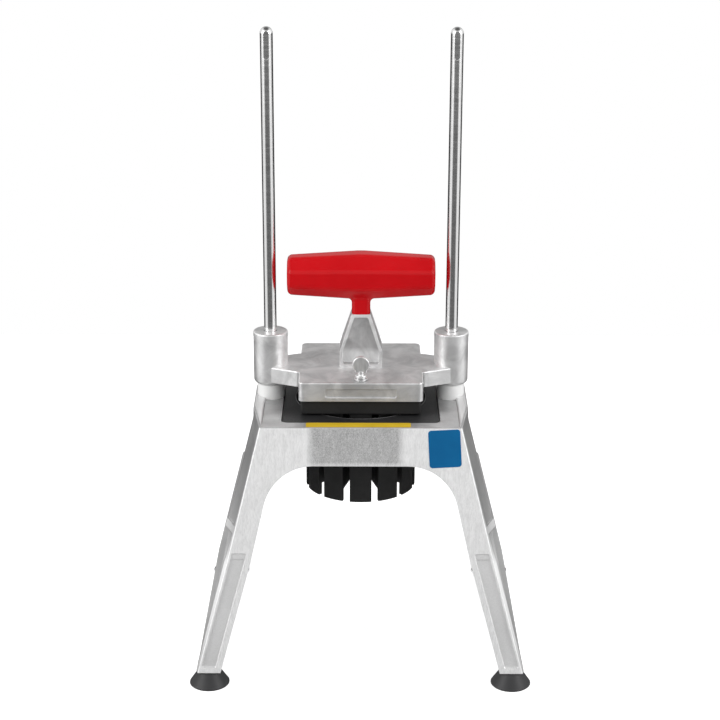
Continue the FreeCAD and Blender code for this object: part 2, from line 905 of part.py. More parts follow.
def pusher_casting():
    body = pusher_plate()
    arm = pusher_arm()
    pieces = both_sides(arm)
    for x in (-rod_x, rod_x):
        pieces.append(pusher_boss(x))
    pieces.append(handle_bracket())
    pieces.append(handle_core())
    pieces.append(rod(thumb_pad_radius, plate_underside, thumb_washer_bottom, 0, thumb_screw_y))
    body = body.fuse(pieces)
    cuts = []
    for x in (-rod_x, rod_x):
        cuts.append(rod(bushing_outer_radius, pusher_boss_bottom - 1, bushing_top, x))
        cuts.append(rod(rod_radius + pusher_boss_cap_clearance, bushing_top, pusher_boss_top + 1, x))
    hole = thumb_shank_radius + thumb_shank_clearance
    cuts.append(rod(hole, lip_bottom, plate_top + 5, 0, thumb_screw_y))
    return single(body.cut(Part.makeCompound(cuts)))


def rod_bushing(x):
    outer = rod(bushing_outer_radius, pusher_boss_bottom, bushing_top, x)
    bore = rod(rod_radius + bushing_running_clearance, pusher_boss_bottom - 1, rod_top, x)
    return outer.cut(bore)


def grip_section(x, flat_radius):
    """Eight-sided outline across the grip with rounded corners."""
    corner_distance = flat_radius / math.cos(math.pi / 8)
    corners = []
    for index in range(8):
        angle = math.pi / 8 + index * math.pi / 4
        corners.append((corner_distance * math.cos(angle),
                        grip_height + corner_distance * math.sin(angle)))
    return rounded_wire(corners, [grip_facet_round] * 8, in_side_view(x))


def grip():
    """Red T grip moulded over the casting's core, thickest at its middle."""
    half = grip_length / 2
    stations = [
        (-half, grip_end_radius), (-grip_crest, grip_middle_radius),
        (grip_crest, grip_middle_radius), (half, grip_end_radius),
    ]
    bar = Part.makeLoft([grip_section(x, radius) for x, radius in stations], True, True)
    ends = edges_where(bar, lambda edge: edge.BoundBox.XLength < 0.01 and
                       abs(edge.BoundBox.XMin) > half - 0.01)
    bar = bar.makeFillet(grip_end_round, ends)
    stem = slab(stem_width / 2, stem_depth / 2, stem_corner_radius, bracket_top, grip_height)
    body = bar.fuse(stem)
    body = body.makeFillet(stem_flare, edges_where(body, stem_seam))
    return single(body.cut(handle_core()))


def stem_seam(edge):
    """True for the edges where the grip's stem meets its bar."""
    bounds = edge.BoundBox
    inside_x = max(abs(bounds.XMin), abs(bounds.XMax)) < stem_width / 2 + 0.1
    inside_y = max(abs(bounds.YMin), abs(bounds.YMax)) < stem_depth / 2 + 0.1
    above = bounds.ZMin > bracket_top + 5 and bounds.ZMax < grip_height - 5
    return inside_x and inside_y and above


def finger(angle):
    """One wedge-shaped finger: a curved outer wall with a shorter web behind it."""
    step = 360.0 / finger_count
    half_slot = finger_slot_width / 2
    sector_reach = finger_outer_radius * 1.3
    half_step = math.radians(step / 2)
    apex = half_slot / math.sin(half_step)
    spread = (sector_reach - apex) * math.tan(half_step)
    corners = [(apex, 0), (sector_reach, -spread), (sector_reach, spread)]
    height = block_bottom - finger_tip
    sector = prism(corners, [0, 0, 0], in_plan(finger_tip), Vector(0, 0, height))
    outer = rod(finger_outer_radius, finger_tip, block_bottom)
    inner = rod(finger_inner_radius, finger_tip - 1, block_bottom + 1)
    web_relief = rod(finger_outer_radius - finger_wall, finger_tip - 1, finger_web_bottom)
    return turned(sector.common(outer).cut(inner).cut(web_relief), angle)


def pusher_fingers():
    """The ring of fingers that stands under the pusher block."""
    step = 360.0 / finger_count
    return Part.makeCompound([finger(step * index - 90.0) for index in range(finger_count)])


def pusher_block():
    """Black pushing block: a square slab with a pin in its middle."""
    body = slab(block_half_width, block_half_depth, 2.0, block_bottom, block_top)
    rim = edges_where(body, lambda edge: level(edge, block_bottom))
    body = body.makeFillet(block_edge_radius, rim)
    pin = rod(core_pusher_radius, finger_web_bottom, block_bottom)
    pin_edge = edges_where(pin, lambda edge: level(edge, finger_web_bottom))
    pin = pin.makeFillet(1.5, pin_edge)
    body = body.fuse(pin)
    hole = thumb_shank_radius + thumb_shank_clearance
    depth = thumb_thread_length + thumb_axial_gap
    body = body.cut(rod(hole, block_top - depth, block_top + 1, 0, thumb_screw_y))
    return single(body)


def thumb_screw():
    """Spade-headed screw that holds the block to the plate."""
    y = thumb_screw_y
    disc = Part.makeCylinder(thumb_disc_radius, thumb_disc_thickness,
                             Vector(0, y - thumb_disc_thickness / 2, thumb_disc_centre), Vector(0, 1, 0))
    disc = disc.makeFillet(0.7, [edge for edge in disc.Edges if edge.BoundBox.ZLength > 1 and
                                 edge.BoundBox.YLength < 0.01])
    shoulder_top = thumb_disc_centre - thumb_disc_radius + thumb_shoulder_height
    shoulder_bottom = thumb_disc_centre - thumb_disc_radius + 0.4
    shoulder = slab(thumb_shoulder_width / 2, thumb_disc_thickness / 2, 1.2,
                    shoulder_bottom, shoulder_top, 0, y)
    collar_top = thumb_collar_bottom + thumb_collar_height
    neck = rod(thumb_neck_radius, collar_top - 0.5, shoulder_bottom + 0.5, 0, y)
    collar = rod(thumb_collar_radius, thumb_collar_bottom, collar_top, 0, y)
    collar = collar.makeFillet(0.6, edges_where(collar, lambda edge: level(edge, collar_top)))
    shank = rod(thumb_shank_radius, block_top - thumb_thread_length, thumb_collar_bottom, 0, y)
    return single(disc.fuse([shoulder, neck, collar, shank]))


def thumb_washer():
    top = thumb_washer_bottom + thumb_washer_thickness
    disc = rod(thumb_washer_radius, thumb_washer_bottom, top, 0, thumb_screw_y)
    hole = thumb_shank_radius + thumb_shank_clearance
    return disc.cut(rod(hole, thumb_washer_bottom - 1, top + 1, 0, thumb_screw_y))


# Feet

def foot_place(side, end):
    x = foot_half_width - foot_side_inset - (rear_inset_foot if end > 0 else 0.0)
    return side * x, end * (outer_half_depth(foot_height) - foot_end_inset)


def suction_foot(x, y):
    """Rubber suction cup with a shallow hollow underneath."""
    hollow = foot_hollow_depth
    outline = [
        Vector(0, 0, hollow), Vector(foot_hollow_radius * 0.45, 0, hollow),
        Vector(foot_hollow_radius, 0, 0), Vector(foot_cup_radius - 0.5, 0, 0),
        Vector(foot_cup_radius, 0, 0.5), Vector(foot_cup_radius, 0, foot_lip),
        Vector(foot_neck_radius + 0.3, 0, foot_height - 1.6),
        Vector(foot_neck_radius, 0, foot_height - 0.6),
        Vector(foot_neck_radius - 0.6, 0, foot_height), Vector(0, 0, foot_height),
    ]
    bell_middle = Vector((foot_cup_radius + foot_neck_radius) / 2 - 0.1, 0, foot_height * 0.5)
    edges = []
    for index in range(len(outline)):
        start = outline[index]
        end = outline[(index + 1) % len(outline)]
        if index == 5:
            edges.append(Part.Arc(start, bell_middle, end).toShape())
        else:
            edges.append(Part.makeLine(start, end))
    cup = Part.Face(Part.Wire(edges)).revolve(Vector(0, 0, 0), Vector(0, 0, 1), 360)
    cup = Part.makeSolid(cup) if cup.ShapeType == "Shell" else cup
    cup.translate(Vector(x, y, 0))
    return single(cup.cut(rod(foot_stud_radius, foot_stud_bottom, foot_height + 1, x, y)))


def foot_stud(x, y):
    return rod(foot_stud_radius, foot_stud_bottom, foot_height + foot_stud_in_pad, x, y)


# Stick-on plates

def front_strip():
    """Blank yellow strip on the deck, in front of the blade holder."""
    front = -(deck_half_depth - deck_edge_radius - 0.2)
    middle = front + strip_width / 2
    return slab(strip_length / 2, strip_width / 2, 1.2, deck_top, deck_top + strip_thickness,
                strip_centre_x, middle)


def round_badge():
    """Blank blue plate, flat against the sloping front apron."""
    outline = rectangle(badge_width / 2, badge_height / 2, badge_centre_x,
                        -(badge_height / 2 + badge_top_gap))
    plate = prism(outline, [badge_radius] * 4, in_front_view(0), Vector(0, -badge_thickness, 0))
    centre = Vector(badge_centre_x, 0, -(badge_height / 2 + badge_top_gap))
    plate.rotate(centre, Vector(0, 1, 0), -badge_turn)
    tilt = math.degrees(math.atan(front_slope))
    plate.rotate(Vector(0, 0, 0), Vector(1, 0, 0), -tilt)
    plate.translate(Vector(0, -deck_half_depth, deck_top))
    return plate


def sides():
    return (("left", -1), ("right", 1))


def all_nodes():
    nodes = {"frame_casting": stand_casting()}
    for name, side in sides():
        nodes["guide_rod_" + name] = guide_rod(side * rod_x)
        nodes["bumper_" + name] = bumper(side * rod_x)
        nodes["rod_bushing_" + name] = rod_bushing(side * rod_x)
    nodes["rod_nuts"] = Part.makeCompound([rod_nut(side * rod_x) for _, side in sides()])
    nodes["rod_washers"] = Part.makeCompound([rod_washer(side * rod_x) for _, side in sides()])
    nodes["blade_holder"] = blade_holder()
    nodes["blade_clamp_ring"] = clamp_ring()
    nodes["holder_screws"] = Part.makeCompound([holder_screw(x, y) for x, y in screw_places()])
    for index, angle in enumerate(blade_angles()):
        nodes["wedge_blade_%02d" % (index + 1)] = wedge_blade(angle)
    nodes["core_tube"] = core_tube()
    nodes["pusher_casting"] = pusher_casting()
    nodes["t_grip"] = grip()
    nodes["pusher_block"] = pusher_block()
    nodes["pusher_fingers"] = pusher_fingers()
    nodes["thumb_screw"] = thumb_screw()
    nodes["thumb_screw_washer"] = thumb_washer()
    studs = []
    for end_name, end in (("front", -1), ("rear", 1)):
        for name, side in sides():
            x, y = foot_place(side, end)
            nodes["suction_foot_%s_%s" % (end_name, name)] = suction_foot(x, y)
            studs.append(foot_stud(x, y))
    nodes["foot_studs"] = Part.makeCompound(studs)
    nodes["front_strip"] = front_strip()
    nodes["front_badge"] = round_badge()
    return nodes


for node, shape in all_nodes().items():
    shape.exportStep("parts/" + node + ".step")
    print(node, "solids", len(shape.Solids), "valid", shape.isValid(), "volume", round(shape.Volume, 1))
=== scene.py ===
import json
import math

import bpy
from mathutils import Matrix, Vector

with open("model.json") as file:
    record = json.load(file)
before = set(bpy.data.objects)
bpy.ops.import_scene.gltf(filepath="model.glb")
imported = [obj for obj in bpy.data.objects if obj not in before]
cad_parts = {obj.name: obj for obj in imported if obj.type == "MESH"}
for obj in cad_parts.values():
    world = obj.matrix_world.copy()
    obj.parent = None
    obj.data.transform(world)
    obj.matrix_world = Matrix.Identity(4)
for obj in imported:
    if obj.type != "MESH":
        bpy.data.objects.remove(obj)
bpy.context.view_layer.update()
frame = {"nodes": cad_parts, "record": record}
nodes = frame["nodes"]

# Sizes repeated from the stand, in metres
DECK_TOP = 0.1975
DECK_HALF_DEPTH = 0.070
FRONT_SLOPE = 0.2
SHOULDER_HEIGHT = 0.188
KNEE_HEIGHT = 0.095
FOOT_HEIGHT = 0.012
LEDGE_BOTTOM = 0.1170
LEDGE_TOP = 0.1228
REAR_INSET_KNEE = 0.0048
REAR_INSET_FOOT = 0.0033

# Half width of the stand's front face, up to the facet along its corner
FACE_AT_DECK = 0.0755
FACE_AT_SHOULDER = 0.0779
FACE_AT_KNEE = 0.1005
FACE_AT_FOOT = 0.1233

# Darker speckled patch in the middle of the aprons
DARK_PATCH_MIDDLE = -0.004
DARK_PATCH_HALF_WIDTH = 0.031
DARK_PATCH_BOTTOM = 0.168

# Sunk panel of the handle bracket, and the rim of the holder's round mouth, where a thin highlight is
# painted
RECESS_BOTTOM = 0.2272
RECESS_SHOULDER = 0.2376
RECESS_TOP = 0.2640
RECESS_HALF_WIDTH = 0.0139
RECESS_HALF_WIDTH_TOP = 0.0050
RECESS_HALF_DEPTH = 0.0078
MOUTH_RIM_RADIUS = 0.0507
MOUTH_RIM_HEIGHT = 0.1960

# Tones of the painted highlights on the stand's bright rims
SIDE_RIM_HIGHLIGHT = 0.84
DECK_RIM_HIGHLIGHT = 0.86

# Glow that the camera sees on the floor, on top of its own light, and the world's light
FLOOR_GLOW = 0.64
WORLD_LIGHT = 0.55


# Small helpers for building materials

class Graph:
    """Node tree of one material, with short calls for the nodes that are used here."""

    def __init__(self, name):
        self.material = bpy.data.materials.new(name)
        self.material.use_nodes = True
        self.tree = self.material.node_tree
        self.nodes = self.tree.nodes
        self.shader = self.nodes["Principled BSDF"]
        self.shader.inputs["Specular IOR Level"].default_value = 0.5
        self.coords = self.add("ShaderNodeTexCoord").outputs["Object"]

    def add(self, kind, **settings):
        node = self.nodes.new(kind)
        for key, value in settings.items():
            setattr(node, key, value)
        return node

    def link(self, source, target):
        self.tree.links.new(source, target)

    def put(self, value, socket):
        if hasattr(value, "is_linked"):
            self.link(value, socket)
        else:
            socket.default_value = value

    def math(self, operation, a, b=0.0, c=0.0):
        node = self.add("ShaderNodeMath", operation=operation)
        self.put(a, node.inputs[0])
        self.put(b, node.inputs[1])
        self.put(c, node.inputs[2])
        return node.outputs[0]

    def product(self, first, *others):
        for other in others:
            first = self.math("MULTIPLY", first, other)
        return first

    def weighted(self, a, share_a, b, share_b):
        return self.math("ADD", self.math("MULTIPLY", a, share_a), self.math("MULTIPLY", b, share_b))

    def axes(self):
        split = self.add("ShaderNodeSeparateXYZ")
        self.link(self.coords, split.inputs[0])
        return split.outputs

    def stretched(self, scale):
        mapping = self.add("ShaderNodeMapping")
        self.link(self.coords, mapping.inputs["Vector"])
        mapping.inputs["Scale"].default_value = scale
        return mapping.outputs[0]

    def noise(self, scale, detail=4.0, roughness=0.55, vector=None, distortion=0.0):
        node = self.add("ShaderNodeTexNoise")
        self.link(vector or self.coords, node.inputs["Vector"])
        node.inputs["Scale"].default_value = scale
        node.inputs["Detail"].default_value = detail
        node.inputs["Roughness"].default_value = roughness
        node.inputs["Distortion"].default_value = distortion
        return node.outputs["Fac"]

    def spread(self, value, low, high, at_low, at_high):
        node = self.add("ShaderNodeMapRange", clamp=True)
        self.put(value, node.inputs["Value"])
        ends = {"From Min": low, "From Max": high, "To Min": at_low, "To Max": at_high}
        for key, number in ends.items():
            self.put(number, node.inputs[key])
        return node.outputs["Result"]

    def above(self, value, low, high):
        """0 up to low, 1 from high on."""
        return self.spread(value, low, high, 0.0, 1.0)

    def below(self, value, low, high):
        """1 up to low, 0 from high on."""
        return self.spread(value, low, high, 1.0, 0.0)

    def blend(self, a, b, fac):
        node = self.add("ShaderNodeMix", data_type="FLOAT")
        self.put(fac, node.inputs["Factor"])
        self.put(a, node.inputs["A"])
        self.put(b, node.inputs["B"])
        return node.outputs["Result"]

    def neutral(self, tone):
        node = self.add("ShaderNodeCombineColor")
        for index in range(3):
            self.link(tone, node.inputs[index])
        return node.outputs[0]

    def mix_colour(self, fac, a, b):
        node = self.add("ShaderNodeMix", data_type="RGBA")
        self.put(fac, node.inputs["Factor"])
        self.put(a, node.inputs["A"])
        self.put(b, node.inputs["B"])
        return node.outputs["Result"]

    def bump(self, height, distance, normal=None):
        node = self.add("ShaderNodeBump")
        node.inputs["Distance"].default_value = distance
        node.inputs["Strength"].default_value = 1.0
        self.link(height, node.inputs["Height"])
        if normal is not None:
            self.link(normal, node.inputs["Normal"])
        return node.outputs["Normal"]

    def soft_edges(self, radius):
        node = self.add("ShaderNodeBevel", samples=6)
        node.inputs["Radius"].default_value = radius
        return node.outputs["Normal"]

    def finish(self, colour, roughness, metallic, normal=None):
        self.put(colour, self.shader.inputs["Base Color"])
        self.put(roughness, self.shader.inputs["Roughness"])
        self.put(metallic, self.shader.inputs["Metallic"])
        if normal is not None:
            self.link(normal, self.shader.inputs["Normal"])
        return self.material


def grey(value):
    return (value, value, value, 1.0)


# Materials

def stand_aluminium():
    """Cast aluminium: ground front and rear faces with upright scratches, satin elsewhere; painted
    shade darkens the sides and the deck, painted highlights brighten their rims.
    """
    g = Graph("cast_aluminium_stand")
    x, y, z = g.axes()
    face = g.math("MULTIPLY_ADD", g.math("SUBTRACT", DECK_TOP, z), FRONT_SLOPE, DECK_HALF_DEPTH)
    sunk = g.math("ABSOLUTE", g.math("SUBTRACT", face, g.math("ABSOLUTE", y)))
    past_edge = g.math("SUBTRACT", g.math("ABSOLUTE", x), front_edge(g, y, z))
    outboard = g.above(past_edge, 0.0002, 0.0007)
    inboard = g.math("SUBTRACT", 1.0, outboard)
    ground = g.product(g.below(sunk, 0.0002, 0.0006), inboard)
    panel = g.product(g.below(sunk, 0.0016, 0.0024), inboard)
    deck = g.above(z, DECK_TOP - 0.0009, DECK_TOP - 0.0003)
    rim = g.above(z, DECK_TOP + 0.0004, DECK_TOP + 0.0011)
    scratches = g.noise(500.0, 5.0, 0.7, g.stretched((1.0, 1.0, 0.04)))
    fine_scratches = g.noise(1700.0, 4.0, 0.7, g.stretched((1.0, 1.0, 0.05)))
    blotches = g.noise(45.0, 4.0, 0.6)
    cast_grain = g.noise(900.0, 4.0, 0.65)
    mottled = g.noise(28.0, 3.0, 0.5)
    speckle = g.noise(2600.0, 2.0, 0.6, g.stretched((1.0, 1.0, 0.35)))

    ground_tone = g.product(g.spread(scratches, 0.36, 0.60, 0.90, 1.0),
                            g.spread(fine_scratches, 0.35, 0.55, 0.90, 1.0),
                            g.spread(blotches, 0.3, 0.7, 0.95, 1.0))
    middle_darkening = g.product(darker_middle_patch(g, x, z), g.spread(speckle, 0.35, 0.65, 0.52, 0.26))
    ground_tone = g.math("SUBTRACT", ground_tone, middle_darkening)
    grain_tone = g.spread(cast_grain, 0.3, 0.7, 0.95, 1.04)
    panel_tone = g.product(g.spread(mottled, 0.3, 0.7, 0.76, 0.84), grain_tone)
    # Painted shade: the side faces are darkened; painted highlights brighten the rims round the side
    # panels and the ledge under them
    side_painted_shading = g.product(g.spread(mottled, 0.3, 0.7, 0.42, 0.54), grain_tone)
    side_painted_shading = g.blend(side_painted_shading, SIDE_RIM_HIGHLIGHT, side_rim_highlights(g, sunk, z))
    inner_tone = g.product(g.spread(mottled, 0.3, 0.7, 0.60, 0.72), grain_tone)
    # Painted shade: the deck top is darkened
    deck_painted_shade = g.product(g.spread(blotches, 0.3, 0.7, 0.46, 0.66), grain_tone)
    tone = g.blend(inner_tone, side_painted_shading, outboard)
    tone = g.blend(tone, panel_tone, panel)
    tone = g.blend(tone, ground_tone, ground)
    tone = g.blend(tone, deck_painted_shade, deck)
    # Painted highlight: the raised rims along the deck are brightened
    tone = g.blend(tone, DECK_RIM_HIGHLIGHT, rim)
    ground_rough = g.spread(fine_scratches, 0.3, 0.7, 0.42, 0.60)
    cast_rough = g.spread(cast_grain, 0.3, 0.7, 0.38, 0.50)
    relief = g.blend(cast_grain, g.math("ADD", scratches, fine_scratches), ground)
    normal = g.bump(relief, 0.00006, g.soft_edges(0.0006))
    return g.finish(g.neutral(tone), g.blend(cast_rough, ground_rough, ground), 0.75, normal)


def front_edge(g, y, z):
    """Half width of the front face at each height, up to the facet; the rear one is narrower."""
    top = g.spread(z, SHOULDER_HEIGHT, DECK_TOP, FACE_AT_SHOULDER, FACE_AT_DECK)
    middle = g.spread(z, KNEE_HEIGHT, SHOULDER_HEIGHT, FACE_AT_KNEE - FACE_AT_SHOULDER, 0.0)
    foot = g.spread(z, FOOT_HEIGHT, KNEE_HEIGHT, FACE_AT_FOOT - FACE_AT_KNEE, 0.0)
    edge = g.math("ADD", top, g.math("ADD", middle, foot))
    inset = g.math("ADD", g.spread(z, KNEE_HEIGHT, SHOULDER_HEIGHT, REAR_INSET_KNEE, 0.0),
                   g.spread(z, FOOT_HEIGHT, KNEE_HEIGHT, REAR_INSET_FOOT - REAR_INSET_KNEE, 0.0))
    behind = g.above(y, -0.001, 0.001)
    return g.math("SUBTRACT", edge, g.product(inset, behind))


def side_rim_highlights(g, sunk, z):
    """1 on the painted highlights of the rims round the side panels and of the ledge under them, 0 in
    the panels.
    """
    upright = g.below(sunk, 0.0024, 0.0029)
    ledge = g.product(g.above(z, LEDGE_BOTTOM, LEDGE_BOTTOM + 0.0006),
                      g.below(z, LEDGE_TOP - 0.0006, LEDGE_TOP))
    return g.math("MAXIMUM", upright, ledge)


def darker_middle_patch(g, x, z):
    """1 in the darker patch in the middle of the aprons, 0 elsewhere."""
    from_middle = g.math("ABSOLUTE", g.math("SUBTRACT", x, DARK_PATCH_MIDDLE))
    return g.product(g.below(from_middle, DARK_PATCH_HALF_WIDTH, DARK_PATCH_HALF_WIDTH + 0.006),
                     g.above(z, DARK_PATCH_BOTTOM, DARK_PATCH_BOTTOM + 0.004))


def pusher_aluminium():
    """Tumbled casting: satin aluminium with fine grain, soft blotches and a darker bracket recess."""
    g = Graph("cast_aluminium_pusher")
    x, y, z = g.axes()
    grain = g.noise(1500.0, 3.0, 0.6)
    blotches = g.noise(60.0, 4.0, 0.6, distortion=0.6)
    broad = g.noise(14.0, 2.0, 0.5)
    half = g.spread(z, RECESS_SHOULDER, RECESS_TOP, RECESS_HALF_WIDTH, RECESS_HALF_WIDTH_TOP)
    past_recess = g.math("SUBTRACT", g.math("ABSOLUTE", x), half)
    recess = g.product(g.below(past_recess, -0.0004, 0.0002),
                       g.below(g.math("ABSOLUTE", y), RECESS_HALF_DEPTH, RECESS_HALF_DEPTH + 0.0006),
                       g.above(z, RECESS_BOTTOM, RECESS_BOTTOM + 0.0013))
    tone = g.product(g.spread(blotches, 0.35, 0.65, 0.60, 0.86),
                     g.spread(broad, 0.3, 0.7, 0.90, 1.06),
                     g.spread(recess, 0.0, 1.0, 1.0, 0.84))
    rough = g.spread(g.weighted(grain, 0.5, blotches, 0.5), 0.3, 0.7, 0.34, 0.48)
    normal = g.bump(g.weighted(grain, 1.0, blotches, 2.0), 0.00005, g.soft_edges(0.0005))
    return g.finish(g.neutral(tone), rough, 0.74, normal)


def polished_rod():
    """Polished rod steel with faint rings and upright wipe marks."""
    g = Graph("polished_rod")
    rings = g.noise(700.0, 2.0, 0.5, g.stretched((0.05, 0.05, 1.0)))
    wipes = g.noise(900.0, 3.0, 0.6, g.stretched((1.0, 1.0, 0.02)))
    tone = g.spread(wipes, 0.3, 0.7, 0.70, 0.80)
    rough = g.spread(rings, 0.3, 0.7, 0.16, 0.24)
    normal = g.bump(g.math("ADD", rings, wipes), 0.000003, g.soft_edges(0.0003))
    return g.finish(g.neutral(tone), rough, 1.0, normal)


def plain_steel(name, low, high, rough_low, rough_high, scale):
    """Bright or blade steel with fine marks one way."""
    g = Graph(name)
    marks = g.noise(scale, 3.0, 0.6, g.stretched((1.0, 1.0, 0.2)))
    tone = g.spread(marks, 0.3, 0.7, low, high)
    rough = g.spread(marks, 0.3, 0.7, rough_low, rough_high)
    normal = g.bump(marks, 0.00001, g.soft_edges(0.0002))
    return g.finish(g.neutral(tone), rough, 1.0, normal)


def moulded_plastic(name, dark, light, rough_low, rough_high, grain_size, relief, shine=0.5):
    """Moulded plastic or rubber: fine surface grain and slow changes of tone."""
    g = Graph(name)
    g.shader.inputs["Specular IOR Level"].default_value = shine
    grain = g.noise(grain_size, 3.0, 0.6)
    slow = g.noise(35.0, 3.0, 0.5)
    fac = g.above(g.weighted(grain, 0.4, slow, 0.6), 0.35, 0.65)
    colour = g.mix_colour(fac, dark, light)
    rough = g.spread(grain, 0.3, 0.7, rough_low, rough_high)
    normal = g.bump(grain, relief, g.soft_edges(0.0004))
    return g.finish(colour, rough, 0.0, normal)


def holder_plastic():
    """Black holder plastic, with a thin painted highlight along the round mouth's rim."""
    g = Graph("black_holder_plastic")
    g.shader.inputs["Specular IOR Level"].default_value = 0.3
    x, y, z = g.axes()
    grain = g.noise(1300.0, 3.0, 0.6)
    slow = g.noise(35.0, 3.0, 0.5)
    fac = g.above(g.weighted(grain, 0.4, slow, 0.6), 0.35, 0.65)
    colour = g.mix_colour(fac, (0.018, 0.018, 0.019, 1), (0.030, 0.030, 0.031, 1))
    # Painted highlight: a thin light band along the round mouth's rim
    radius = g.math("SQRT", g.math("ADD", g.product(x, x), g.product(y, y)))
    off_rim = g.math("ABSOLUTE", g.math("SUBTRACT", radius, MOUTH_RIM_RADIUS))
    mouth_rim_highlight = g.product(g.below(off_rim, 0.0002, 0.0005),
                     g.above(z, MOUTH_RIM_HEIGHT, MOUTH_RIM_HEIGHT + 0.0005),
                     g.spread(slow, 0.35, 0.65, 0.4, 1.0))
    colour = g.mix_colour(mouth_rim_highlight, colour, (0.34, 0.34, 0.34, 1))
    normal = g.bump(grain, 0.00004, g.soft_edges(0.0004))
    return g.finish(colour, g.spread(grain, 0.3, 0.7, 0.40, 0.55), 0.0, normal)


def red_dip():
    """Glossy red vinyl of the grip, a little uneven like a dipped coat."""
    g = Graph("red_grip_vinyl")
    g.shader.inputs["Specular IOR Level"].default_value = 0.2
    slow = g.noise(30.0, 2.0, 0.5)
    orange_peel = g.noise(220.0, 2.0, 0.5)
    colour = g.mix_colour(g.above(slow, 0.3, 0.7), (0.52, 0.003, 0.006, 1), (0.60, 0.005, 0.009, 1))
    rough = g.spread(orange_peel, 0.3, 0.7, 0.14, 0.20)
    normal = g.bump(orange_peel, 0.00002, g.soft_edges(0.0006))
    return g.finish(colour, rough, 0.0, normal)


def plain_film(name, colour_low, colour_high, rough, shine):
    """Bare stick-on film with a faint grain."""
    g = Graph(name)
    g.shader.inputs["Specular IOR Level"].default_value = shine
    grain = g.noise(900.0, 2.0, 0.5)
    slow = g.noise(60.0, 2.0, 0.5)
    colour = g.mix_colour(g.above(slow, 0.3, 0.7), colour_low, colour_high)
    normal = g.bump(grain, 0.00001)
    return g.finish(colour, g.spread(grain, 0.3, 0.7, rough - 0.05, rough + 0.05), 0.0, normal)


finishes = {
    "cast_aluminium": stand_aluminium(),
    "cast_aluminium_pusher": pusher_aluminium(),
    "polished_rod": polished_rod(),
    "zinc_steel": plain_steel("plain_steel", 0.52, 0.62, 0.25, 0.40, 700.0),
    "thumb_screw_steel": plain_steel("bright_screw_steel", 0.78, 0.90, 0.38, 0.52, 500.0),
    "blade_steel": plain_steel("blade_steel", 0.66, 0.76, 0.15, 0.30, 1200.0),
    "white_plastic": moulded_plastic("white_bumper_plastic",
                                     (0.92, 0.92, 0.915, 1), (0.96, 0.96, 0.955, 1),
                                     0.38, 0.52, 1100.0, 0.00002),
    "black_plastic": holder_plastic(),
    "black_plastic_block": moulded_plastic("black_block_plastic",
                                           (0.012, 0.012, 0.012, 1), (0.022, 0.022, 0.022, 1),
                                           0.42, 0.60, 1100.0, 0.00004, 0.3),
    "red_grip": red_dip(),
    "foot_rubber": moulded_plastic("foot_rubber",
                                   (0.012, 0.012, 0.013, 1), (0.028, 0.028, 0.030, 1),
                                   0.42, 0.60, 800.0, 0.00003),
    "yellow_strip": plain_film("yellow_strip_film",
                               (0.58, 0.39, 0.015, 1), (0.66, 0.45, 0.02, 1), 0.50, 0.3),
    "blue_badge": plain_film("blue_badge_film",
                             (0.001, 0.105, 0.27, 1), (0.002, 0.125, 0.31, 1), 0.50, 0.15),
}

for part in frame["record"]["subparts"]:
    mesh = nodes[part["node"]].data
    for index in range(len(mesh.materials)):
        mesh.materials[index] = finishes[part["material_slot"]]


# Studio: floor, background, lights and camera

def studio_floor():
    """Pale floor: white to the camera but for its shadows, and unseen in reflections."""
    bpy.ops.object.select_all(action="DESELECT")
    bpy.ops.mesh.primitive_plane_add(size=1.5, location=(0, 0, 0))
    floor = bpy.context.object
    floor.name = "studio_floor"
    material = bpy.data.materials.new("studio_floor")
    material.use_nodes = True
    tree = material.node_tree
    tree.nodes.clear()
    out = tree.nodes.new("ShaderNodeOutputMaterial")
    diffuse = tree.nodes.new("ShaderNodeBsdfDiffuse")
    diffuse.inputs["Color"].default_value = grey(0.80)
    dark = tree.nodes.new("ShaderNodeEmission")
    dark.inputs["Strength"].default_value = 0.0
    glow = tree.nodes.new("ShaderNodeEmission")
    glow.inputs["Color"].default_value = grey(1.0)
    glow.inputs["Strength"].default_value = FLOOR_GLOW
    path = tree.nodes.new("ShaderNodeLightPath")
    mix = tree.nodes.new("ShaderNodeMixShader")
    tree.links.new(path.outputs["Is Camera Ray"], mix.inputs[0])
    tree.links.new(dark.outputs[0], mix.inputs[1])
    tree.links.new(glow.outputs[0], mix.inputs[2])
    both = tree.nodes.new("ShaderNodeAddShader")
    tree.links.new(diffuse.outputs[0], both.inputs[0])
    tree.links.new(mix.outputs[0], both.inputs[1])
    clear = tree.nodes.new("ShaderNodeBsdfTransparent")
    surface = tree.nodes.new("ShaderNodeMixShader")
    tree.links.new(path.outputs["Is Glossy Ray"], surface.inputs[0])
    tree.links.new(both.outputs[0], surface.inputs[1])
    tree.links.new(clear.outputs[0], surface.inputs[2])
    tree.links.new(surface.outputs[0], out.inputs["Surface"])
    floor.data.materials.append(material)


